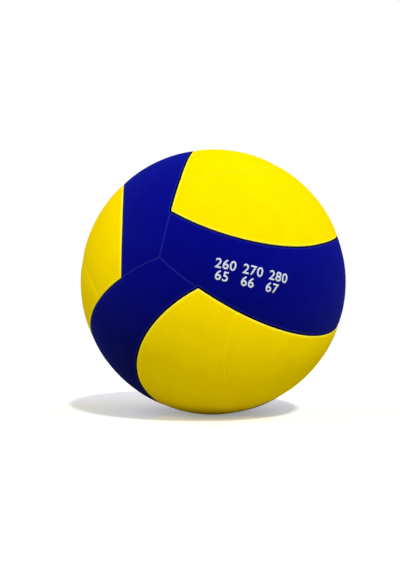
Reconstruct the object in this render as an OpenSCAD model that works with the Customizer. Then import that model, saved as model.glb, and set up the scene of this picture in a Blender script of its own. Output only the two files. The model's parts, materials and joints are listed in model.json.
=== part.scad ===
// Indoor volleyball: eighteen swirled panels on a wound carcass, with a needle valve.
// Millimetres and degrees, +Z up, origin at the centre of the ball.
// Three blades meet at one point of the front and three more at the opposite point.
// Every seam is built from circles on the ball, each with its centre and its angular radius.

/* [Ball] */
// Diameter of the ball over its skins
ball_diameter = 210; // [180:1:230]
// Lean of the front blade point below the top of the ball
point_tilt = 90; // [0:0.5:180]
// Turn of the front blade point about the upright axis
point_turn = -18.5; // [-180:0.1:180]
// Spin of the panels about the blade point
point_spin = -2.8; // [-180:0.1:180]

/* [Panels] */
// Thickness of each outer skin
skin_thickness = 1.2; // [0.8:0.1:2]
// Thickness of the foam backing under each skin
foam_thickness = 2.6; // [1:0.1:4]
// Width of the joint between two panels
joint_width = 0.3; // [0.1:0.05:0.8]
// Depth to which the edges of the skins are bevelled
edge_bevel = 0.7; // [0.2:0.1:1]
// Layer of glue between one piece and the next
glue_line = 0.1; // [0.05:0.05:0.3]

/* [Seams] */
// Angular radius of the long seams that run from point to point
long_angle = 70.5; // [66:0.5:80]
// Azimuth at which a long seam crosses the middle of the ball
long_crossing = -19.2; // [-30:0.1:-10]
// Polar place of the centre of a swirl seam, between blue and yellow
swirl_polar = 61.1; // [60:0.1:62]
// Azimuth of the centre of a swirl seam
swirl_azimuth = 63.2; // [62:0.1:64]
// Angular radius of a swirl seam
swirl_angle = 45.1; // [44:0.1:46]
// Polar place at which a swirl seam bends less
bend_polar = 59.8; // [56:0.1:62]
// Angular radius of a swirl seam from there on
bend_angle = 69; // [60:0.5:80]
// Angular radius of the turn where two swirl seams join
turn_angle = 12; // [10:0.5:18]
// Polar place of the centre of a fork seam, between two panels of one colour
fork_polar = 65.7; // [64:0.1:67]
// Azimuth of the centre of a fork seam
fork_azimuth = 91.7; // [90:0.1:93]
// Angular radius of a fork seam
fork_angle = 33.8; // [33:0.1:35]
// Polar place at which a blade is cut off, on its long seam
cut_polar = 92.5; // [91:0.5:95]

/* [Carcass] */
// Thickness of the moulded rubber carcass
carcass_thickness = 1.2; // [0.8:0.1:2]
// Thickness of the nylon thread winding
winding_thickness = 1; // [0.5:0.1:2]
// Thickness of the butyl bladder
bladder_thickness = 0.9; // [0.6:0.1:1.5]

/* [Valve] */
// Polar place of the valve about the blade point
valve_polar = 114; // [108:1:118]
// Azimuth of the valve about the blade point
valve_azimuth = 128; // [124:1:132]
// Diameter of the valve's neck through the layers
neck_diameter = 9; // [8:0.5:11]
// Diameter of the valve's nose in the skin
nose_diameter = 6; // [5:0.5:7]
// Depth of the nose below the skin's surface
nose_recess = 0.3; // [0.1:0.1:0.6]
// Diameter of the flange glued inside the bladder
flange_diameter = 22; // [16:1:30]
// Thickness of that flange
flange_thickness = 1.4; // [1:0.1:2.5]
// Length of the stem inside the bladder
stem_length = 12; // [8:0.5:18]
// Diameter of the stem
stem_diameter = 10; // [9:0.5:13]
// Diameter of the plug that seals round the needle
plug_diameter = 5; // [4:0.25:6]
// Diameter of the passage for a 2 mm needle
needle_passage = 2.1; // [2:0.05:2.5]
// Thickness of the closed end of the plug
slit_depth = 2.5; // [1.5:0.5:4]
// Diameter of the mouth that guides the needle into the nose
entry_diameter = 3; // [2.6:0.1:4]
// Thickness of the nose over the plug
nose_wall = 2; // [1:0.5:3]
// Clearance round the plug
plug_clearance = 0.05; // [0.02:0.01:0.15]
// Clearance round the valve where it passes through a layer
valve_clearance = 0.15; // [0.05:0.05:0.3]

/* [Hidden] */
panel_kinds = ["blade", "crescent", "wedge"];
colours = ["blue", "yellow"];
layers = ["skin", "foam"];

round_sides = 128;
bore_sides = 48;
column_angle = 120;
half_turn = 180;
full_turn = 360;
equator = 90;
// Pieces in which each stretch of a seam is drawn
tip_steps = 4;
swirl_steps = 12;
bend_steps = 6;
turn_steps = 8;
// A cutter reaches from this share of its layer to this share of the ball, clear of both
cutter_foot_share = 0.9;
cutter_cap_share = 1.2;
overrun = 1;

ball_radius = ball_diameter / 2;
skin_inside = ball_radius - skin_thickness;
foam_outside = skin_inside - glue_line;
foam_inside = foam_outside - foam_thickness;
carcass_outside = foam_inside - glue_line;
carcass_inside = carcass_outside - carcass_thickness;
winding_outside = carcass_inside - glue_line;
winding_inside = winding_outside - winding_thickness;
bladder_outside = winding_inside - glue_line;
bladder_inside = bladder_outside - bladder_thickness;
flange_outside = bladder_inside - glue_line;
flange_inside = flange_outside - flange_thickness;
flange_middle = (flange_outside + flange_inside) / 2;
stem_end = flange_inside - stem_length;
nose_top = ball_radius - nose_recess;
plug_seat = nose_top - nose_wall;
valve_wedge = 2;

$fn = round_sides;

// Unit vectors on the ball, from the polar angle and azimuth about the front blade point
function unit(v) = v / norm(v);
function at(polar, azimuth) = [sin(polar) * cos(azimuth), sin(polar) * sin(azimuth), cos(polar)];
function swapped(p, axis) = 2 * (p * axis) * axis - p;
function reversed(list) = [for (i = [len(list) - 1:-1:0]) list[i]];
function tail(list) = [for (i = [1:len(list) - 1]) list[i]];

// A ring is [centre, angular radius]: a circle on the ball, read by the bearing from its centre
function east(ring) = unit(cross([0, 0, 1], ring[0]));
function north(ring) = cross(ring[0], east(ring));
function ring_point(ring, bearing) =
    cos(ring[1]) * ring[0] + sin(ring[1]) * (cos(bearing) * north(ring) + sin(bearing) * east(ring));
function bearing_to(ring, p) = atan2(p * east(ring), p * north(ring));
function short_way(angle) = (angle % full_turn + full_turn + half_turn) % full_turn - half_turn;
function arc(ring, from, to, steps) =
    let (start = bearing_to(ring, from), turn = short_way(bearing_to(ring, to) - start))
    [for (i = [0:steps]) ring_point(ring, start + turn * i / steps)];

// Where two rings cross, on the side given by 1 or -1
function crossing(a, b, side) =
    let (k = a[0] * b[0],
         across = 1 - k * k,
         share_a = (cos(a[1]) - k * cos(b[1])) / across,
         share_b = (cos(b[1]) - k * cos(a[1])) / across,
         middle = share_a * a[0] + share_b * b[0])
    middle + side * sqrt((1 - middle * middle) / across) * cross(a[0], b[0]);

// A long seam starts at the blade point, and past the middle it is its own image
long_azimuth_centre = long_crossing + acos(1 / tan(long_angle));
function long_azimuth(polar) = polar <= equator
    ? long_azimuth_centre - acos(tan(polar / 2) / tan(long_angle))
    : 2 * long_crossing - long_azimuth(half_turn - polar);
function long_point(polar, column) = at(polar, long_azimuth(polar) + column * column_angle);
function long_stretch(from, to, column, steps) =
    [for (i = [0:steps]) long_point(from + (to - from) * i / steps, column)];

// Half a turn about this axis lays the front half of the ball on the back half
swap_axis = at(equator, long_crossing + column_angle / 2);
next_long = [at(long_angle, long_azimuth_centre + column_angle), long_angle];
swirl = [at(swirl_polar, swirl_azimuth), swirl_angle];
fork = [at(fork_polar, fork_azimuth), fork_angle];

// The swirl seam bends less in its second stretch, and ends in a tight turn through the swap axis
bend_start = crossing(swirl, [at(0, 0), bend_polar], 1);
bend_side = unit(swirl[0] - (swirl[0] * bend_start) * bend_start);
bend = [cos(bend_angle) * bend_start + sin(bend_angle) * bend_side, bend_angle];
turn_place = crossing([bend[0], bend_angle - turn_angle], [swap_axis, turn_angle], -1);
turn = [turn_place, turn_angle];
turn_start = ring_point(bend, bearing_to(bend, turn_place));

// Corners of the panels
blade_corner = crossing(swirl, next_long, 1);
fork_corner = crossing(fork, next_long, 1);
corner_polar = acos(blade_corner[2]);
fork_corner_polar = acos(fork_corner[2]);
crescent_end_polar = (corner_polar + fork_corner_polar) / 2;
cut_foot = long_point(half_turn - cut_polar, 1);
cut_ring = [unit(cross(swapped(turn_start, swap_axis), cut_foot)), equator];
fork_end = crossing(fork, cut_ring, 1);

swirl_seam = concat(arc(swirl, blade_corner, bend_start, swirl_steps),
    tail(arc(bend, bend_start, turn_start, bend_steps)));
turn_seam = arc(turn, turn_start, swap_axis, turn_steps);
turn_seam_image = [for (p = reversed(turn_seam)) swapped(p, swap_axis)];
blade_steps = tip_steps + swirl_steps + bend_steps;
crescent_steps = blade_steps + 2 * turn_steps;
fork_seam = arc(fork, fork_corner, fork_end, crescent_steps - tip_steps);

// Each outline is two sides of as many points, from one shared point down to the cut
blade_sides = [
    long_stretch(0, cut_polar, 0, blade_steps),
    concat(long_stretch(0, corner_polar, 1, tip_steps), tail(swirl_seam))];
crescent_sides = [
    concat(long_stretch(crescent_end_polar, corner_polar, 1, tip_steps),
        tail(swirl_seam), tail(turn_seam), tail(turn_seam_image)),
    concat(long_stretch(crescent_end_polar, fork_corner_polar, 1, tip_steps), tail(fork_seam))];
wedge_sides = [
    fork_seam,
    long_stretch(fork_corner_polar, half_turn - cut_polar, 1, crescent_steps - tip_steps)];

// The angle that a width covers on the ball
function angle_of(width) = asin(width / ball_radius);

// Moves the edge of an outline inwards over the ball, with mitred corners
function inset(outline, angle) =
    let (count = len(outline))
    [for (i = [0:count - 1])
        let (p = outline[i],
             before = unit(cross(outline[(i + count - 1) % count], p)),
             after = unit(cross(p, outline[(i + 1) % count])),
             middle = unit(before + after))
        unit(p + tan(angle) / (middle * before) * middle)];

// A solid with its point at the centre of the ball, which cuts a panel out of a shell.
// Its levels are [radius, inset], from the innermost to the outermost.
module cutter(sides, levels) {
    rungs = len(sides[0]);
    count = 2 * rungs - 1;
    outline = concat(sides[0], reversed(tail(sides[1])));
    top = (len(levels) - 1) * count;
    points = [for (level = levels) for (p = inset(outline, level[1])) level[0] * p];
    foot_faces = [for (i = [0:rungs - 2])
        i == 0 ? [0, 1, count - 1] : [i, i + 1, count - i - 1, count - i]];
    cap_faces = [for (face = foot_faces) [for (i = reversed(face)) top + i]];
    wall_faces = [for (level = [0:len(levels) - 2]) for (i = [0:count - 1])
        let (foot = level * count, head = foot + count, after = (i + 1) % count)
        [foot + i, head + i, head + after, foot + after]];
    polyhedron(points, concat(foot_faces, cap_faces, wall_faces), convexity = 6);
}

module shell(outside, inside) {
    difference() {
        sphere(r = outside);
        sphere(r = inside);
    }
}

// Turns the ball from the axis of its blade points to the way it lies
module lie() {
    rotate([0, 0, point_turn]) rotate([point_tilt, 0, 0]) rotate([0, 0, point_spin]) children();
}

// Puts a panel of the front half in its column, or swaps it to the back half
module place(number, back) {
    rotate([0, 0, (number - 1) * column_angle])
        if (back) rotate(a = half_turn, v = swap_axis) children();
        else children();
}

// Stands a piece of the valve up on its own axis
module valve_place() {
    rotate([0, valve_polar, valve_azimuth]) children();
}

module valve_hole(diameter) {
    valve_place() cylinder(d = diameter + 2 * valve_clearance, h = ball_radius + overrun, $fn = bore_sides);
}

half_joint = angle_of(joint_width / 2);
bevelled = angle_of(joint_width / 2 + edge_bevel + overrun);

module skin(sides) {
    intersection() {
        shell(ball_radius, skin_inside);
        cutter(sides, [
            [cutter_foot_share * skin_inside, half_joint],
            [ball_radius - edge_bevel, half_joint],
            [ball_radius + overrun, bevelled],
            [cutter_cap_share * ball_radius, bevelled]]);
    }
}

module foam(sides) {
    intersection() {
        shell(foam_outside, foam_inside);
        cutter(sides, [
            [cutter_foot_share * foam_inside, half_joint],
            [cutter_cap_share * ball_radius, half_joint]]);
    }
}

module skin_colour(colour) {
    color(colour == "blue" ? "darkblue" : "gold") children();
}

// Three blades, which meet in a point, are the first of their colour's half
module blade_skin(colour, number) {
    skin_colour(colour) lie() place(number, colour == "yellow") skin(blade_sides);
}

module blade_foam(colour, number) {
    color("ivory") lie() place(number, colour == "yellow") foam(blade_sides);
}

module crescent_skin(colour, number) {
    skin_colour(colour) lie() place(number, colour == "blue") skin(crescent_sides);
}

module crescent_foam(colour, number) {
    color("ivory") lie() place(number, colour == "blue") foam(crescent_sides);
}

// The valve comes out through one of the wedges
module wedge_skin(colour, number) {
    skin_colour(colour) lie() difference() {
        place(number, colour == "blue") skin(wedge_sides);
        if (colour == "blue" && number == valve_wedge) valve_hole(nose_diameter);
    }
}

module wedge_foam(colour, number) {
    color("ivory") lie() difference() {
        place(number, colour == "blue") foam(wedge_sides);
        if (colour == "blue" && number == valve_wedge) valve_hole(neck_diameter);
    }
}

module rubber_carcass() {
    color("dimgray") lie() difference() {
        shell(carcass_outside, carcass_inside);
        valve_hole(neck_diameter);
    }
}

module nylon_winding() {
    color("whitesmoke") lie() difference() {
        shell(winding_outside, winding_inside);
        valve_hole(neck_diameter);
    }
}

module bladder() {
    color("black") lie() difference() {
        shell(bladder_outside, bladder_inside);
        valve_hole(neck_diameter);
    }
}

// A rubber boot: flange and stem inside the bladder, neck through the layers, nose in the skin
module valve_housing() {
    color("black") lie() valve_place() difference() {
        union() {
            intersection() {
                shell(flange_outside, flange_inside);
                cylinder(d = flange_diameter, h = ball_radius, $fn = bore_sides);
            }
            intersection() {
                sphere(r = foam_outside);
                translate([0, 0, flange_inside])
                    cylinder(d = neck_diameter, h = ball_radius - flange_inside, $fn = bore_sides);
            }
            translate([0, 0, stem_end])
                cylinder(d = stem_diameter, h = flange_middle - stem_end, $fn = bore_sides);
            translate([0, 0, flange_inside])
                cylinder(d = nose_diameter, h = nose_top - flange_inside, $fn = bore_sides);
        }
        translate([0, 0, stem_end - overrun])
            cylinder(d = plug_diameter + 2 * plug_clearance, h = plug_seat - stem_end + overrun,
                $fn = bore_sides);
        cylinder(d = entry_diameter, h = ball_radius, $fn = bore_sides);
    }
}

// A soft plug with a blind passage, whose slit end closes when the needle leaves
module valve_plug() {
    color("gray") lie() valve_place() difference() {
        translate([0, 0, stem_end])
            cylinder(d = plug_diameter, h = plug_seat - plug_clearance - stem_end, $fn = bore_sides);
        translate([0, 0, stem_end + slit_depth])
            cylinder(d = needle_passage, h = ball_radius, $fn = bore_sides);
    }
}

for (colour = colours, number = [1:3]) {
    blade_skin(colour, number);
    blade_foam(colour, number);
    crescent_skin(colour, number);
    crescent_foam(colour, number);
    wedge_skin(colour, number);
    wedge_foam(colour, number);
}
rubber_carcass();
nylon_winding();
bladder();
valve_housing();
valve_plug();
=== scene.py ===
# Volleyball: eighteen swirled leather panels on a wound carcass, with a needle valve.
import json
from bisect import bisect_right
from math import acos, atan2, cos, log, pi, radians, sin, sqrt, tan

import bpy
from mathutils import Matrix, Vector, kdtree
from mathutils.geometry import intersect_point_line

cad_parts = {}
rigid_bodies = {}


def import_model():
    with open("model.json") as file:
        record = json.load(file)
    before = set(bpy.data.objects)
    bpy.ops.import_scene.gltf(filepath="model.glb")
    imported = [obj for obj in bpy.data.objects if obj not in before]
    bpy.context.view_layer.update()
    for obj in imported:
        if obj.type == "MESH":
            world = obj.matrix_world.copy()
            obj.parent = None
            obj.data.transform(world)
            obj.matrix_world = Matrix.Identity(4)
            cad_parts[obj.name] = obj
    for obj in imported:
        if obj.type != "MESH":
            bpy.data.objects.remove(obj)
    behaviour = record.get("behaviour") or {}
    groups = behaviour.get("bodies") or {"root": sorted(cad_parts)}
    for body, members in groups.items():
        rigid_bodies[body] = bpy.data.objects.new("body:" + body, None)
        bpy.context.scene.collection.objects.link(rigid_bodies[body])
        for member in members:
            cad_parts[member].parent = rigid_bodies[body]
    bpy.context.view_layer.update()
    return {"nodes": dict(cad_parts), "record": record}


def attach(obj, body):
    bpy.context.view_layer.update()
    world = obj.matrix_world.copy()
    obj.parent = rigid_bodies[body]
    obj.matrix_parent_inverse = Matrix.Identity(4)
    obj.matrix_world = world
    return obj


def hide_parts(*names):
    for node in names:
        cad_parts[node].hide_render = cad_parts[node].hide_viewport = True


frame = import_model()
mm = 0.001
rightAngle = pi / 2
upAxis = Vector((0, 0, 1))
print("frame loaded:", len(frame["nodes"]), "nodes")

ball = {
    "radius": 105 * mm,
    "skinInside": 103.8 * mm,
}

# The photograph: where the ball's centre lies in it, and how far off the camera stood
photo = {
    "width": 400,
    "height": 570,
    "ballCentre": (213.3, 281.95),
    "focalPixels": 472.7,
    "distance": 3.7 * ball["radius"],
    "elevation": radians(-8.87),
    "sensor": 36,
    "nearest": 10 * mm,
}
towardsCamera = Vector((0, -cos(photo["elevation"]), sin(photo["elevation"])))
cameraUp = Vector((0, sin(photo["elevation"]), cos(photo["elevation"])))
cameraRight = Vector((1, 0, 0))


def deselect():
    bpy.ops.object.select_all(action="DESELECT")


def active():
    return bpy.context.view_layer.objects.active


def pick(piece):
    deselect()
    piece.select_set(True)
    bpy.context.view_layer.objects.active = piece


# In edit mode, joins the vertices that lie on one another
def joinDoubles(distance):
    bpy.ops.mesh.select_all(action="SELECT")
    bpy.ops.mesh.remove_doubles(threshold=distance)


# In edit mode, turns every face outwards
def turnOutwards():
    bpy.ops.mesh.select_all(action="SELECT")
    bpy.ops.mesh.normals_make_consistent(inside=False)


# Seen from the camera, the point of the ball that a pixel of the photograph shows
def ballPoint(pixel):
    across = (pixel[0] - photo["ballCentre"][0]) / photo["focalPixels"]
    down = (pixel[1] - photo["ballCentre"][1]) / photo["focalPixels"]
    start = towardsCamera * photo["distance"]
    ray = (cameraRight * across - cameraUp * down - towardsCamera).normalized()
    nearest = start.dot(ray)
    depth = sqrt(nearest ** 2 - start.length_squared + ball["radius"] ** 2)
    return start - ray * (nearest + depth)


deselect()
bpy.ops.object.camera_add(
    location=towardsCamera * photo["distance"],
    rotation=(rightAngle - photo["elevation"], 0, 0),
)
camera = active()
camera.name = "photoCamera"
camera.data.sensor_width = photo["sensor"]
camera.data.lens = photo["focalPixels"] / photo["height"] * photo["sensor"]
camera.data.shift_x = (photo["width"] / 2 - photo["ballCentre"][0]) / photo["height"]
camera.data.shift_y = (photo["ballCentre"][1] - photo["height"] / 2) / photo["height"]
camera.data.clip_start = photo["nearest"]
bpy.context.scene.camera = camera
bpy.context.scene.view_settings.view_transform = "Standard"
print("camera in place")


# A shader's nodes, added and joined by name
class Shader:
    def __init__(self, owner):
        owner.use_nodes = True
        self.tree = owner.node_tree
        self.tree.nodes.clear()

    def add(self, kind, sockets=None, **settings):
        node = self.tree.nodes.new("ShaderNode" + kind)
        for name, value in settings.items():
            setattr(node, name, value)
        for name, value in (sockets or {}).items():
            node.inputs[name].default_value = value
        return node

    def join(self, source, target, output=0, entry=0):
        self.tree.links.new(source.outputs[output], target.inputs[entry])

    # 1 for the rays that show the background itself
    def backgroundRays(self):
        rays = self.add("LightPath")
        first = self.add("Math", operation="MAXIMUM")
        both = self.add("Math", operation="MAXIMUM")
        self.join(rays, first, "Is Camera Ray")
        self.join(rays, first, "Is Glossy Ray", 1)
        self.join(first, both)
        self.join(rays, both, "Is Transmission Ray", 1)
        return both

    # A texture that is fixed to the object
    def texture(self, kind, sockets):
        node = self.add(kind, sockets)
        self.join(self.add("TexCoord"), node, "Object", "Vector")
        return node

    # Clouds of two tones: the noise, and its colour
    def mottle(self, look):
        noise = self.texture("TexNoise", {"Scale": look["mottle"], "Detail": look["mottleDetail"]})
        tone = self.add("ValToRGB")
        ends = tone.color_ramp.elements
        for end, place, colour in zip(ends, look["mottleEnds"], (look["dark"], look["light"])):
            end.position = place
            end.color = (*colour, 1)
        self.join(noise, tone)
        return noise, tone

    # A colour over another one, where a mark on the mesh rises between two values
    def over(self, below, mark, start, end, colour):
        marked = self.add("Attribute", attribute_name=mark)
        sockets = {"From Min": start, "From Max": end}
        share = self.add("MapRange", sockets, interpolation_type="SMOOTHSTEP")
        mixed = self.add("MixRGB", {"Color2": (*colour, 1)})
        self.join(marked, share, "Fac")
        self.join(share, mixed)
        self.join(below, mixed, 0, "Color1")
        return mixed

    # The surface itself: its roughness follows the mottle, and its bump follows the grain
    def surface(self, colour, mottle, grain, look, sockets):
        rough = self.add("MapRange", {"To Min": look["rough"][0], "To Max": look["rough"][1]})
        bump = self.add("Bump", {"Strength": look["bump"], "Distance": look["bumpDepth"]})
        body = self.add("BsdfPrincipled", sockets)
        self.join(mottle, rough)
        self.join(grain, bump, "Distance" if "Distance" in grain.outputs else "Fac", "Height")
        self.join(colour, body, 0, "Base Color")
        self.join(rough, body, 0, "Roughness")
        self.join(bump, body, 0, "Normal")
        self.join(body, self.add("OutputMaterial"))


# The floor bounces another colour than it shows, so that the ball's underside is lit as in the photo
floorLook = {
    "size": 8,
    "bounced": (0.53, 0.53, 0.11, 1),
    "shown": (0.85, 0.85, 0.85, 1),
    "glow": 0.3,
}
deselect()
bpy.ops.mesh.primitive_plane_add(size=floorLook["size"], location=(0, 0, -ball["radius"]))
floor = active()
floor.name = "studioFloor"
floorMaterial = bpy.data.materials.new("whiteFloor")
shader = Shader(floorMaterial)
background = shader.backgroundRays()
tone = shader.add("MixRGB", {"Color1": floorLook["bounced"], "Color2": floorLook["shown"]})
paint = shader.add("BsdfDiffuse")
glow = shader.add("Emission")
share = shader.add("Math", {1: floorLook["glow"]}, operation="MULTIPLY")
both = shader.add("AddShader")
shader.join(background, share)
shader.join(share, glow, 0, "Strength")
shader.join(background, tone)
shader.join(tone, paint)
shader.join(paint, both)
shader.join(glow, both, 0, 1)
shader.join(both, shader.add("OutputMaterial"))
floor.data.materials.append(floorMaterial)

worldLook = {"light": (0.1, 0.1, 0.05, 1), "shown": (1, 1, 1, 1)}
world = bpy.data.worlds.new("studio")
bpy.context.scene.world = world
shader = Shader(world)
tone = shader.add("MixRGB", {"Color1": worldLook["light"], "Color2": worldLook["shown"]})
sky = shader.add("Background")
shader.join(shader.backgroundRays(), tone)
shader.join(tone, sky)
shader.join(sky, shader.add("OutputWorld"))

# Far, soft lamps, so that the floor is evenly lit: the side each shines from, how wide it looks from
# the ball, its strength and its colour
lights = {
    "keyLight": {"place": (0.34, -1, 1), "width": radians(4), "strength": 2, "colour": (1, 1, 1)},
    "leftLight": {"place": (-0.9, -0.1, 0.7), "width": radians(60), "strength": 1.1, "colour": (1, 1, 1.35)},
    "rightLight": {"place": (0.9, -0.1, 0.7), "width": radians(60), "strength": 1.05, "colour": (1, 1, 1.35)},
    "frontLight": {"place": (0, -1, 0.35), "width": radians(60), "strength": 0.95, "colour": (1, 1, 0.4)},
}
for name, look in lights.items():
    place = Vector(look["place"])
    deselect()
    bpy.ops.object.light_add(type="SUN", location=place, rotation=place.to_track_quat("Z", "Y").to_euler())
    lamp = active()
    lamp.name = name
    lamp.data.angle = look["width"]
    lamp.data.energy = look["strength"]
    lamp.data.color = look["colour"]
print("stage and lights in place")

# Seams as in the part's source, in degrees about the front blade point
seams = {
    "longRadius": 70.5,
    "longCrossing": -19.2,
    "swirlCentre": (61.1, 63.2),
    "swirlRadius": 45.1,
    "bendPolar": 59.8,
    "bendRadius": 69,
    "turnRadius": 12,
    "forkCentre": (65.7, 91.7),
    "forkRadius": 33.8,
    "cutPolar": 92.5,
    "column": 120,
    "tilt": 90,
    "turn": -18.5,
    "spin": -2.8,
}
seam = {name: radians(value) for name, value in seams.items() if not isinstance(value, tuple)}
arcSteps = 60


def at(polar, azimuth):
    return Vector((sin(polar) * cos(azimuth), sin(polar) * sin(azimuth), cos(polar)))


# A ring is a circle on the ball: its centre and its angular radius
def ringAxes(ring):
    east = upAxis.cross(ring[0]).normalized()
    return ring[0].cross(east), east


def ringPoint(ring, bearing):
    north, east = ringAxes(ring)
    return cos(ring[1]) * ring[0] + sin(ring[1]) * (cos(bearing) * north + sin(bearing) * east)


def bearingTo(ring, point):
    north, east = ringAxes(ring)
    return atan2(point.dot(east), point.dot(north))


# The shorter way round a ring between two of its points
def arc(ring, start, end):
    first = bearingTo(ring, start)
    turn = (bearingTo(ring, end) - first + pi) % (2 * pi) - pi
    return [ringPoint(ring, first + turn * i / arcSteps) for i in range(arcSteps + 1)]


def greatArc(start, end):
    return [start.lerp(end, i / arcSteps).normalized() for i in range(arcSteps + 1)]


# One of the two points where two rings cross: side is 1 or -1
def crossing(a, b, side):
    k = a[0].dot(b[0])
    across = 1 - k * k
    middle = (cos(a[1]) - k * cos(b[1])) / across * a[0] + (cos(b[1]) - k * cos(a[1])) / across * b[0]
    return middle + side * sqrt((1 - middle.dot(middle)) / across) * a[0].cross(b[0])


longCentre = seam["longCrossing"] + acos(1 / tan(seam["longRadius"]))


# A long seam runs from one blade point to the other, along a ring of its own on each half
def longPoint(polar, column):
    if polar <= rightAngle:
        azimuth = longCentre - acos(tan(polar / 2) / tan(seam["longRadius"]))
        return at(polar, azimuth + column * seam["column"])
    azimuth = longCentre - acos(tan((pi - polar) / 2) / tan(seam["longRadius"]))
    return at(polar, 2 * seam["longCrossing"] - azimuth + column * seam["column"])


def longStretch(start, end, column):
    return [longPoint(start + (end - start) * i / arcSteps, column) for i in range(arcSteps + 1)]


# Half a turn about this axis lays the front half of the ball on its back half
swapAxis = at(rightAngle, seam["longCrossing"] + seam["column"] / 2)


def swapped(point):
    return 2 * point.dot(swapAxis) * swapAxis - point


# The swirl seam starts at the next long seam, passes into a bend, and then into a tight turn through
# the swap axis. The fork seam leaves the same long seam, and ends on the cut that ends both the
# crescent and the wedge.
nextLong = (at(seam["longRadius"], longCentre + seam["column"]), seam["longRadius"])
swirl = (at(*map(radians, seams["swirlCentre"])), seam["swirlRadius"])
fork = (at(*map(radians, seams["forkCentre"])), seam["forkRadius"])
bendStart = crossing(swirl, (upAxis, seam["bendPolar"]), 1)
bendSide = (swirl[0] - swirl[0].dot(bendStart) * bendStart).normalized()
bend = (cos(seam["bendRadius"]) * bendStart + sin(seam["bendRadius"]) * bendSide, seam["bendRadius"])
turnCentre = crossing((bend[0], seam["bendRadius"] - seam["turnRadius"]), (swapAxis, seam["turnRadius"]), -1)
turnRing = (turnCentre, seam["turnRadius"])
turnStart = ringPoint(bend, bearingTo(bend, turnCentre))
bladeCorner = crossing(swirl, nextLong, 1)
forkCorner = crossing(fork, nextLong, 1)
cornerPolar, forkPolar = acos(bladeCorner.z), acos(forkCorner.z)
cutFoot = longPoint(pi - seam["cutPolar"], 1)
cutRing = (swapped(turnStart).cross(cutFoot).normalized(), rightAngle)
forkEnd = crossing(fork, cutRing, 1)
swirlSeam = arc(swirl, bladeCorner, bendStart) + arc(bend, bendStart, turnStart)[1:]
turnSeam = arc(turnRing, turnStart, swapAxis)
turnImage = [swapped(point) for point in reversed(turnSeam)]
forkSeam = arc(fork, forkCorner, forkEnd)
bladeEnd = longPoint(seam["cutPolar"], 0)

# Each panel has a left and a right side from top to bottom, and a top and a bottom from left to right.
# The crescent's foot is round, so its left side ends halfway round it, and its right side goes on
# along its end, which takes the last few rows of the net. The power draws its columns to the foot.
halfTurn = arcSteps // 2
panelSides = {
    "Blade": {
        "left": longStretch(0, seam["cutPolar"], 0),
        "bottom": greatArc(bladeEnd, turnStart),
        "right": swirlSeam,
        "top": longStretch(0, cornerPolar, 1),
        "twoColour": [longStretch(cornerPolar, seam["cutPolar"], 0), swirlSeam],
    },
    "Crescent": {
        "left": swirlSeam + turnSeam[1:halfTurn + 1],
        "bottom": turnSeam[halfTurn:] + turnImage[1:],
        "right": forkSeam + greatArc(forkEnd, swapped(turnStart))[1:],
        "top": longStretch(cornerPolar, forkPolar, 1),
        "endRows": 5,
        "bottomPower": 0.7,
        "twoColour": [longStretch(cornerPolar, forkPolar, 1), swirlSeam + turnSeam[1:] + turnImage[1:]],
    },
    "Wedge": {
        "left": forkSeam,
        "bottom": greatArc(forkEnd, cutFoot),
        "right": longStretch(forkPolar, pi - seam["cutPolar"], 1),
        "top": [forkCorner, forkCorner],
        "twoColour": [longStretch(forkPolar, pi - seam["cutPolar"], 1)],
    },
}

# How a panel is shaped: its edges roll over into the joint, and its face is softly crowned
panelShape = {
    "joint": 0.01 * mm,
    "rollWidth": 0.8 * mm,
    "rollDepth": 0.4 * mm,
    "softRollDepth": 0.2 * mm,
    "softFrom": 4 * mm,
    "crownWidth": 17 * mm,
    "crownDepth": 0.35 * mm,
    "deepest": 1.15 * mm,
    "edgeSteps": [step * mm for step in (0, 0.05, 0.15, 0.3, 0.5, 0.9, 1.6, 2.8, 4.5, 6.5)],
    "grid": 2.5 * mm,
    "netAcross": 1.7 * mm,
    "relaxing": 1000,
    "sameSpot": 0.0001 * mm,
    "smoothAngle": radians(50),
    # How far two marks reach: painted shade and highlight along seams of two colours, and painted highlight
    # with a little wear along every edge
    "marks": {"seamShadeAndHighlight": 2.4 * mm, "edgeWearAndHighlight": 0.8 * mm},
}


# Moves an outline inwards over the ball, with mitred corners
def insetOutline(outline, angle):
    moved = []
    for i, point in enumerate(outline):
        before = outline[i - 1].cross(point).normalized()
        after = point.cross(outline[(i + 1) % len(outline)]).normalized()
        middle = (before + after).normalized()
        moved.append((point + tan(angle) / middle.dot(before) * middle).normalized())
    return moved


# Moves the four sides of a panel inwards, and keeps them apart
def insetSides(sides, angle):
    lengths = [len(sides[name]) - 1 for name in ("left", "bottom", "right")]
    pointed = sides["top"][0] == sides["top"][-1]
    upwards = list(reversed(sides["right"]))
    outline = sides["left"] + sides["bottom"][1:] + upwards[1:]
    if pointed:
        outline = outline[:-1]
    else:
        outline += list(reversed(sides["top"]))[1:-1]
    moved = insetOutline(outline, angle)
    moved.append(moved[0])
    marks = [0, lengths[0], lengths[0] + lengths[1], sum(lengths)]
    result = {name: moved[marks[i]:marks[i + 1] + 1] for i, name in enumerate(("left", "bottom", "right"))}
    result["right"].reverse()
    result["top"] = [moved[0], moved[0]] if pointed else list(reversed(moved[marks[3]:]))
    return result


# Gives the point at a share of a side's length
def alongSide(side):
    lengths = [0]
    for a, b in zip(side, side[1:]):
        lengths.append(lengths[-1] + (b - a).length)

    def pointAt(share):
        if not lengths[-1]:
            return side[0]
        i = min(bisect_right(lengths, share * lengths[-1]), len(side) - 1)
        part = (share * lengths[-1] - lengths[i - 1]) / (lengths[i] - lengths[i - 1])
        return side[i - 1].lerp(side[i], part)

    return pointAt, lengths[-1]


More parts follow.
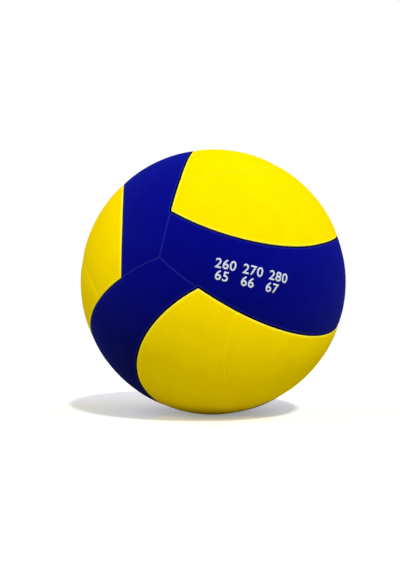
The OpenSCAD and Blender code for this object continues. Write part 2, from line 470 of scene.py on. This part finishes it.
# Gives the distance from a side, over the ball
def distanceFrom(side):
    tree = kdtree.KDTree(len(side))
    for i, point in enumerate(side):
        tree.insert(point, i)
    tree.balance()

    def distance(point):
        nearest = tree.find(point)[1]
        found = []
        for a, b in ((nearest - 1, nearest), (nearest, nearest + 1)):
            if a >= 0 and b < len(side):
                part = intersect_point_line(point, side[a], side[b])[1]
                found.append((point - side[a].lerp(side[b], min(max(part, 0), 1))).length)
        return min(found) * ball["radius"]

    return distance


# How far an edge lowers the panel's face at a distance from it: less where both panels have one colour
def edgeDrop(distance, fromTwoColour):
    roll = max(1 - distance / panelShape["rollWidth"], 0)
    crown = max(1 - distance / panelShape["crownWidth"], 0)
    soft = min(fromTwoColour / panelShape["softFrom"], 1)
    depth = panelShape["rollDepth"] * (1 - soft) + panelShape["softRollDepth"] * soft
    return depth * (1 - sqrt(1 - roll ** 2)) + panelShape["crownDepth"] * crown ** 2


# Shares of a length: close together beside the edges, and even between them
def gridShares(length, edgeAtStart=True):
    length *= ball["radius"]
    edge = panelShape["edgeSteps"]
    start = edge if edgeAtStart else [0]
    between = length - start[-1] - edge[-1]
    count = max(round(between / panelShape["grid"]), 1)
    even = [start[-1] + between * i / count for i in range(1, count)]
    return [place / length for place in start + even + [length - step for step in reversed(edge)]]


# Adds a flat grid, and lists the row and column of each of its vertices
def addGrid(rowCount, columnCount):
    deselect()
    bpy.ops.mesh.primitive_grid_add(x_subdivisions=columnCount, y_subdivisions=rowCount, size=1)
    grid = active()
    knots = []
    for vertex in grid.data.vertices:
        knots.append((round((vertex.co.y + 0.5) * rowCount), round((vertex.co.x + 0.5) * columnCount)))
    return grid, knots


# Spans an even net between four sides and relaxes it, and gives the point at two shares of it. The
# powers move its rows along the right side and its columns along the bottom.
def relaxedNet(sides, rightPower, bottomPower, rowCount, columnCount):
    left, right, top, bottom = (alongSide(sides[name])[0] for name in ("left", "right", "top", "bottom"))
    corners = left(0), right(0), left(1), right(1)
    net, knots = addGrid(rowCount, columnCount)
    bpy.ops.object.mode_set(mode="EDIT")
    bpy.ops.mesh.select_all(action="DESELECT")
    bpy.ops.object.mode_set(mode="OBJECT")
    for vertex, (row, column) in zip(net.data.vertices, knots):
        t, s = row / rowCount, column / columnCount
        place = left(t).lerp(right(t ** rightPower), s) + top(s).lerp(bottom(s ** bottomPower), t)
        place -= corners[0].lerp(corners[1], s).lerp(corners[2].lerp(corners[3], s), t)
        vertex.co = place
        vertex.select = 0 < row < rowCount and 0 < column < columnCount
    bpy.ops.object.mode_set(mode="EDIT")
    bpy.ops.mesh.vertices_smooth(factor=1, repeat=panelShape["relaxing"])
    bpy.ops.object.mode_set(mode="OBJECT")
    points = {knot: vertex.co.normalized() for knot, vertex in zip(knots, net.data.vertices)}
    bpy.data.objects.remove(net)

    def pointAt(s, t):
        row, column = min(int(t * rowCount), rowCount - 1), min(int(s * columnCount), columnCount - 1)
        above = points[row, column].lerp(points[row, column + 1], s * columnCount - column)
        below = points[row + 1, column].lerp(points[row + 1, column + 1], s * columnCount - column)
        return above.lerp(below, t * rowCount - row).normalized()

    return pointAt


# The mark is 1 on the edges given, and falls to 0 at its width
def markPanel(panel, mark, edges):
    marked = panel.data.attributes.new(mark, "FLOAT", "POINT")
    for vertex, value in zip(panel.data.vertices, marked.data):
        place = vertex.co.normalized()
        value.value = max(1 - min(edge(place) for edge in edges) / panelShape["marks"][mark], 0)


# Models a panel where its seams are, as a closed shell
def modelPanel(name, sides):
    inner = insetSides(sides, panelShape["joint"] / ball["radius"])
    lengths = {side: alongSide(inner[side])[1] for side in inner}
    middles = [alongSide(inner[side])[0](0.5) for side in ("left", "right")]
    height = max(lengths["left"], lengths["right"])
    width = max(lengths["top"], lengths["bottom"], (middles[0] - middles[1]).length)
    rowCount = round(height * ball["radius"] / panelShape["grid"])
    columnCount = round(width * ball["radius"] / panelShape["netAcross"])
    rows = gridShares(height, lengths["top"] > 0)
    columns = gridShares(width)
    rightPower = 1
    if "endRows" in sides:
        cornerShare = alongSide(inner["right"][:arcSteps + 1])[1] / lengths["right"]
        endShare = 1 - sides["endRows"] / rowCount
        rightPower = log(cornerShare) / log(endShare)
        rows = sorted([*rows, endShare])
    netAt = relaxedNet(inner, rightPower, sides.get("bottomPower", 1), rowCount, columnCount)
    edges = [distanceFrom(inner[side]) for side in ("left", "right", "bottom", "top") if len(inner[side]) > 2]
    twoColour = [distanceFrom(side) for side in sides["twoColour"]]

    panel, knots = addGrid(len(rows) - 1, len(columns) - 1)
    panel.name = name
    for vertex, (row, column) in zip(panel.data.vertices, knots):
        place = netAt(columns[column], rows[row])
        fromTwoColour = min(edge(place) for edge in twoColour)
        room = 1
        for edge in edges:
            room *= 1 - edgeDrop(edge(place), fromTwoColour) / panelShape["deepest"]
        vertex.co = place * (ball["radius"] - panelShape["deepest"] * (1 - room))

    bpy.ops.object.mode_set(mode="EDIT")
    joinDoubles(panelShape["sameSpot"])
    bpy.ops.mesh.extrude_region_move()
    bpy.ops.object.mode_set(mode="OBJECT")
    # The copy that the extrusion leaves selected becomes the inside of the panel
    for vertex in panel.data.vertices:
        if vertex.select:
            vertex.co = vertex.co.normalized() * ball["skinInside"]
    bpy.ops.object.mode_set(mode="EDIT")
    turnOutwards()
    bpy.ops.object.mode_set(mode="OBJECT")
    bpy.ops.object.shade_smooth_by_angle(angle=panelShape["smoothAngle"])
    # Marks for the painted shade and highlight along seams of two colours, and for the painted edge highlight
    markPanel(panel, "seamShadeAndHighlight", twoColour)
    # A pale line along every edge: painted highlight where the rolled edge catches the light, with a little
    # wear
    markPanel(panel, "edgeWearAndHighlight", edges)
    print(name, "modelled:", len(panel.data.polygons), "faces")
    return panel


# The ball lies with its front blade point turned towards the camera
lie = Matrix.Rotation(seam["turn"], 4, "Z") @ Matrix.Rotation(seam["tilt"], 4, "X")
lie = lie @ Matrix.Rotation(seam["spin"], 4, "Z")

# What both leathers share
leatherFinish = {
    "mottle": 90,
    "mottleDetail": 5,
    "mottleEnds": (0.3, 0.7),
    "grain": 1400,
    "grainDetail": 3,
    "bump": 0.25,
    "bumpDepth": 0.04 * mm,
    "rough": (0.6, 0.72),
    "shine": 0.001,
    "sheenRough": 0.6,
    "sheenTint": (0.5, 0.75, 1, 1),
}
# Both marks run from 0 at the width given above to 1 on the seam itself. Along a seam of two colours:
# a line of painted shade on the blue and of painted highlight on the yellow, with a band of painted
# highlight next to it. Along every edge: a pale line of painted highlight, with a little wear
leather = {
    "blue": {
        "light": (0.0016, 0.0022, 0.265),
        "dark": (0.001, 0.0014, 0.23),
        # A pale line along every edge: painted highlight, with a little wear
        "wearAndHighlight": (0.016, 0.02, 0.38),
        "wearAndHighlightFrom": 0.25,
        # Beside a seam of two colours: a lighter band of painted highlight, then a dark line of painted shade
        "seamHighlightBand": (0.008, 0.011, 0.32),
        "paintedSeamLine": (0.0003, 0.0003, 0.002),
        "paintedLineFrom": 0.5,
        "paintedLineTo": 0.62,
        "sheen": 0.02,
    },
    "yellow": {
        "light": (0.92, 0.68, 0.0),
        "dark": (0.88, 0.64, 0.0),
        "wearAndHighlight": (0.95, 0.74, 0.015),
        # A pale line along every edge: painted highlight, with a little wear
        "wearAndHighlightFrom": 0.25,
        # Beside a seam of two colours: a lighter band of painted highlight, then a pale line of painted
        # highlight
        "seamHighlightBand": (0.95, 0.75, 0.0),
        "paintedSeamLine": (0.93, 0.8, 0.13),
        "paintedLineFrom": 0.55,
        "paintedLineTo": 0.85,
        "sheen": 0,
    },
}


def leatherMaterial(name, look):
    look = {**leatherFinish, **look}
    material = bpy.data.materials.new(name)
    shader = Shader(material)
    mottle, colour = shader.mottle(look)
    # A pale line along every edge: painted highlight where the rolled edge catches the light, with a little
    # wear
    colour = shader.over(colour, "edgeWearAndHighlight", look["wearAndHighlightFrom"], 1, look["wearAndHighlight"])
    # A lighter band beside a seam of two colours: painted highlight
    colour = shader.over(colour, "seamShadeAndHighlight", 0, look["paintedLineFrom"], look["seamHighlightBand"])
    # On that seam: a dark line of painted shade on the blue, and a pale line of painted highlight on the
    # yellow
    colour = shader.over(colour, "seamShadeAndHighlight", look["paintedLineFrom"], look["paintedLineTo"], look["paintedSeamLine"])
    grain = shader.texture("TexNoise", {"Scale": look["grain"], "Detail": look["grainDetail"]})
    shader.surface(colour, mottle, grain, look, {
        "Specular IOR Level": look["shine"],
        "Sheen Weight": look["sheen"],
        "Sheen Roughness": look["sheenRough"],
        "Sheen Tint": look["sheenTint"],
    })
    return material


leatherMaterials = {colour: leatherMaterial(colour + "Leather", look) for colour, look in leather.items()}

# Each kind is modelled once and laid three times round each blade point, on the front half in one
# colour and on the back half in the other
for kind, sides in panelSides.items():
    pattern = modelPanel("pattern" + kind, sides)
    frontColour = "blue" if kind == "Blade" else "yellow"
    for colour in ("blue", "yellow"):
        for number in range(3):
            pick(pattern)
            bpy.ops.object.duplicate()
            panel = active()
            panel.name = f"{colour}{kind}Panel{number + 1}"
            turned = lie @ Matrix.Rotation(number * seam["column"], 4, "Z")
            if colour != frontColour:
                turned = turned @ Matrix.Rotation(pi, 4, swapAxis)
            panel.matrix_world = turned
            bpy.ops.object.transform_apply(location=False, rotation=True, scale=False)
            panel.data.materials.append(leatherMaterials[colour])
            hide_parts(f"{colour}_{kind.lower()}_skin_{number + 1}")
            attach(panel, "root")
    bpy.data.objects.remove(pattern)
print("panels placed")

# The valve: a rubber boot with a flange, stem, neck and nose, and a plug in it with a blind passage
# for the needle. A profile's points are in millimetres, from the axis and from the ball's centre.
valve = {
    "polar": radians(114),
    "azimuth": radians(128),
    "panel": "blueWedgePanel2",
    "steps": 64,
    "sameSpot": 0.001 * mm,
    "smoothAngle": radians(35),
    "bevelSteps": 3,
    "housing": {
        "profile": [
            (1.55, 103.9), (1.75, 104.35), (2.1, 104.62), (2.5, 104.7), (2.8, 104.6), (3, 104.3),
            (3, 103.8), (3.15, 103.7), (4.3, 103.7), (4.5, 103.5), (4.5, 97.9), (4.8, 97.48),
            (7.5, 97.31), (10.5, 97.02), (10.9, 96.75), (11, 96.3), (10.9, 95.85), (10.5, 95.65),
            (7.5, 95.91), (5.6, 95.98), (5, 95.4), (5, 84.6), (4.6, 84.2), (2.9, 84.2),
            (2.55, 84.5), (2.55, 102.7), (1.5, 102.7),
        ],
        "bevel": 0.15 * mm,
        "replaces": "valve_housing",
        "slot": "valve_rubber",
    },
    "plug": {
        "profile": [
            (0, 84.2), (2.3, 84.2), (2.5, 84.4), (2.5, 102.4), (2.3, 102.64), (1.45, 102.64),
            (1.15, 102.45), (1.05, 102.1), (1.05, 86.9), (0.9, 86.7), (0, 86.7),
        ],
        "bevel": 0.05 * mm,
        "replaces": "valve_plug",
        "slot": "valve_plug",
    },
    "hole": [
        (0, 100), (3.15, 100), (3.15, 104.1), (3.22, 104.45), (3.4, 104.75), (3.7, 104.92),
        (4.2, 105.02), (4.2, 107), (0, 107),
    ],
}
valveAxis = lie @ Matrix.Rotation(valve["azimuth"], 4, "Z") @ Matrix.Rotation(valve["polar"], 4, "Y")


# Spins a closed profile round the valve's axis
def turnedPiece(name, profile):
    deselect()
    bpy.ops.mesh.primitive_circle_add(vertices=len(profile))
    piece = active()
    piece.name = name
    for vertex, (radius, height) in zip(piece.data.vertices, profile):
        vertex.co = (radius * mm, 0, height * mm)
    bpy.ops.object.mode_set(mode="EDIT")
    bpy.ops.mesh.select_all(action="SELECT")
    bpy.ops.mesh.spin(steps=valve["steps"], angle=2 * pi, center=(0, 0, 0), axis=upAxis)
    joinDoubles(valve["sameSpot"])
    bpy.ops.mesh.delete_loose()
    turnOutwards()
    bpy.ops.object.mode_set(mode="OBJECT")
    piece.matrix_world = valveAxis
    bpy.ops.object.transform_apply(location=False, rotation=True, scale=False)
    return piece


def applyModifier(piece, kind, **settings):
    pick(piece)
    modifier = piece.modifiers.new(kind.lower(), kind)
    for name, value in settings.items():
        setattr(modifier, name, value)
    bpy.ops.object.modifier_apply(modifier=modifier.name)


# What the inner layers and the valve share, and how each looks
layerFinish = {
    "mottleDetail": 4,
    "mottleEnds": (0.35, 0.65),
    "bumpDepth": 0.1 * mm,
}
layerLooks = {
    "foam": {
        "light": (0.8, 0.77, 0.66), "dark": (0.7, 0.67, 0.56), "mottle": 60, "rough": (0.75, 0.9),
        "grainKind": "TexVoronoi", "grain": {"Scale": 1500}, "bump": 0.5, "shine": 0.2,
    },
    "rubber": {
        "light": (0.02, 0.02, 0.02), "dark": (0.012, 0.012, 0.012), "mottle": 50, "rough": (0.55, 0.75),
        "grainKind": "TexNoise", "grain": {"Scale": 900}, "bump": 0.3, "shine": 0.35,
    },
    "thread": {
        "light": (0.75, 0.75, 0.72), "dark": (0.6, 0.6, 0.57), "mottle": 40, "rough": (0.4, 0.6),
        "grainKind": "TexWave", "grain": {"Scale": 600, "Distortion": 6}, "bump": 0.8, "shine": 0.4,
    },
    "butyl": {
        "light": (0.01, 0.01, 0.01), "dark": (0.006, 0.006, 0.006), "mottle": 35, "rough": (0.3, 0.45),
        "grainKind": "TexNoise", "grain": {"Scale": 300}, "bump": 0.15, "shine": 0.5,
    },
    "valve_rubber": {
        "light": (0.014, 0.014, 0.014), "dark": (0.008, 0.008, 0.008), "mottle": 400, "rough": (0.45, 0.65),
        "grainKind": "TexNoise", "grain": {"Scale": 2500}, "bump": 0.3, "shine": 0.4,
    },
    "valve_plug": {
        "light": (0.06, 0.06, 0.058), "dark": (0.04, 0.04, 0.04), "mottle": 500, "rough": (0.5, 0.7),
        "grainKind": "TexNoise", "grain": {"Scale": 3000}, "bump": 0.25, "shine": 0.35,
    },
}


# A moulded or wound material: clouds of two tones, and a grain or threads for its bump
def layerMaterial(name, look):
    look = {**layerFinish, **look}
    material = bpy.data.materials.new(name)
    shader = Shader(material)
    mottle, colour = shader.mottle(look)
    grain = shader.texture(look["grainKind"], look["grain"])
    shader.surface(colour, mottle, grain, look, {"Specular IOR Level": look["shine"]})
    return material


layerMaterials = {slot: layerMaterial(slot + "Surface", look) for slot, look in layerLooks.items()}

for name in ("housing", "plug"):
    look = valve[name]
    piece = turnedPiece("valve" + name.capitalize(), look["profile"])
    bevel = {"width": look["bevel"], "segments": valve["bevelSteps"], "angle_limit": valve["smoothAngle"]}
    applyModifier(piece, "BEVEL", **bevel)
    bpy.ops.object.mode_set(mode="EDIT")
    joinDoubles(valve["sameSpot"])
    bpy.ops.object.mode_set(mode="OBJECT")
    bpy.ops.object.shade_smooth_by_angle(angle=valve["smoothAngle"])
    piece.data.materials.append(layerMaterials[look["slot"]])
    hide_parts(look["replaces"])
    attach(piece, "root")

drill = turnedPiece("drill", valve["hole"])
panel = bpy.data.objects[valve["panel"]]
applyModifier(panel, "BOOLEAN", object=drill, operation="DIFFERENCE", solver="EXACT")
bpy.ops.object.shade_smooth_by_angle(angle=panelShape["smoothAngle"])
bpy.data.objects.remove(drill)
print("valve fitted")

for part in frame["record"]["subparts"]:
    node = frame["nodes"][part["node"]]
    if part["material_slot"] in layerMaterials:
        for place in node.material_slots:
            place.material = layerMaterials[part["material_slot"]]
print("inner layers painted")

# Two rows of plain numbers: the masses in grams and the girths in centimetres that the game allows
numbers = {
    "rows": [
        {"text": "260 270 280", "start": (214.3, 266.8), "end": (289.5, 284.3), "wordSpace": 1.5},
        {"text": "65 66 67", "start": (213.8, 278.8), "end": (285, 295.8), "wordSpace": 3},
    ],
    "height": 6.2 * mm,
    "bold": 0.018,
    "letterSpace": 1.08,
    "strip": 1.5 * mm,
    "sameSpot": 0.001 * mm,
    "proud": 0.04 * mm,
    "depth": 0.12 * mm,
}
inkLook = {
    "light": (0.66, 0.7, 1),
    "dark": (0.52, 0.55, 1),
    "mottle": 900,
    "mottleDetail": 2,
    "mottleEnds": (0, 1),
    "rough": 0.6,
    "shine": 0.1,
}
inkMaterial = bpy.data.materials.new("whiteInk")
shader = Shader(inkMaterial)
colour = shader.mottle(inkLook)[1]
ink = shader.add("BsdfPrincipled", {"Roughness": inkLook["rough"], "Specular IOR Level": inkLook["shine"]})
shader.join(colour, ink, 0, "Base Color")
shader.join(ink, shader.add("OutputMaterial"))

for number, row in enumerate(numbers["rows"]):
    start, end = ballPoint(row["start"]), ballPoint(row["end"])
    outwards = start.normalized()
    along = (end - start - (end - start).dot(outwards) * outwards).normalized()
    upwards = outwards.cross(along)
    deselect()
    bpy.ops.object.text_add()
    text = active()
    text.name = f"whiteNumbers{number + 1}"
    text.data.body = row["text"]
    text.data.offset = numbers["bold"]
    text.data.space_character = numbers["letterSpace"]
    text.data.space_word = row["wordSpace"]
    bpy.ops.object.convert(target="MESH")
    size = numbers["height"] / text.dimensions.y
    textLength, placeLength = text.dimensions.x * size / mm, (end - start).length / mm
    print(f"row {number + 1} is {textLength:.1f} mm long, and its place {placeLength:.1f} mm")
    text.scale = (size, size, size)
    bpy.ops.object.transform_apply(location=False, rotation=False, scale=True)
    # Cuts the flat text into small squares, so that it can bend over the ball
    bpy.ops.object.mode_set(mode="EDIT")
    for direction in (Vector((1, 0, 0)), Vector((0, 1, 0))):
        reach = text.dimensions.dot(direction)
        for step in range(1, int(reach / numbers["strip"]) + 1):
            bpy.ops.mesh.select_all(action="SELECT")
            bpy.ops.mesh.bisect(plane_co=direction * numbers["strip"] * step, plane_no=direction)
    joinDoubles(numbers["sameSpot"])
    bpy.ops.mesh.delete_loose()
    bpy.ops.mesh.select_all(action="SELECT")
    bpy.ops.mesh.extrude_region_move()
    bpy.ops.object.mode_set(mode="OBJECT")
    # The copy that the extrusion leaves selected becomes the face of the ink
    for vertex in text.data.vertices:
        x, y = vertex.co.x / ball["radius"], vertex.co.y / ball["radius"]
        place = cos(y) * (cos(x) * outwards + sin(x) * along) + sin(y) * upwards
        level = ball["radius"] + numbers["proud"] - (0 if vertex.select else numbers["depth"])
        vertex.co = place * level
    bpy.ops.object.mode_set(mode="EDIT")
    turnOutwards()
    bpy.ops.object.mode_set(mode="OBJECT")
    text.data.materials.append(inkMaterial)
    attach(text, "root")
print("numbers printed")
